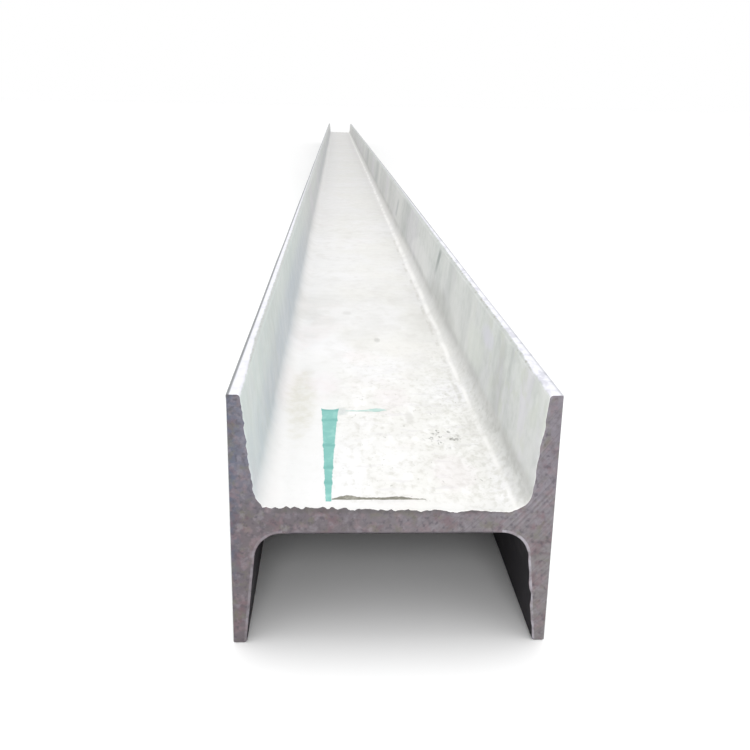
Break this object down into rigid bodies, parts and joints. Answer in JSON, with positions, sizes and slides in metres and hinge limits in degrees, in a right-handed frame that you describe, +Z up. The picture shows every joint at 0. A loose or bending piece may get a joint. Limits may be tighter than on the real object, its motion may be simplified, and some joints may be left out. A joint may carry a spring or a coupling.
{
  "type": "steel i-beam",
  "caption": "Length of hot-rolled steel i-beam with tapered flanges, filleted roots, rounded toes and square saw-cut ends; it lies on its flange toes with the web level.",
  "frame": {"origin": "on the floor, under the middle of the beam's length and half way between the flanges", "axes": "+Z up, square to the web; +Y along the beam's length; +X across the section, from one flange to the other"},
  "size_m": [0.1524, 6, 0.127],
  "materials": {
    "mill_steel": "matte",
    "dark_marking": "matte",
    "marking_paint": "matte"
  },
  "bodies": {
    "root": {"i_beam": "mill_steel"}
  },
  "joints": []
}
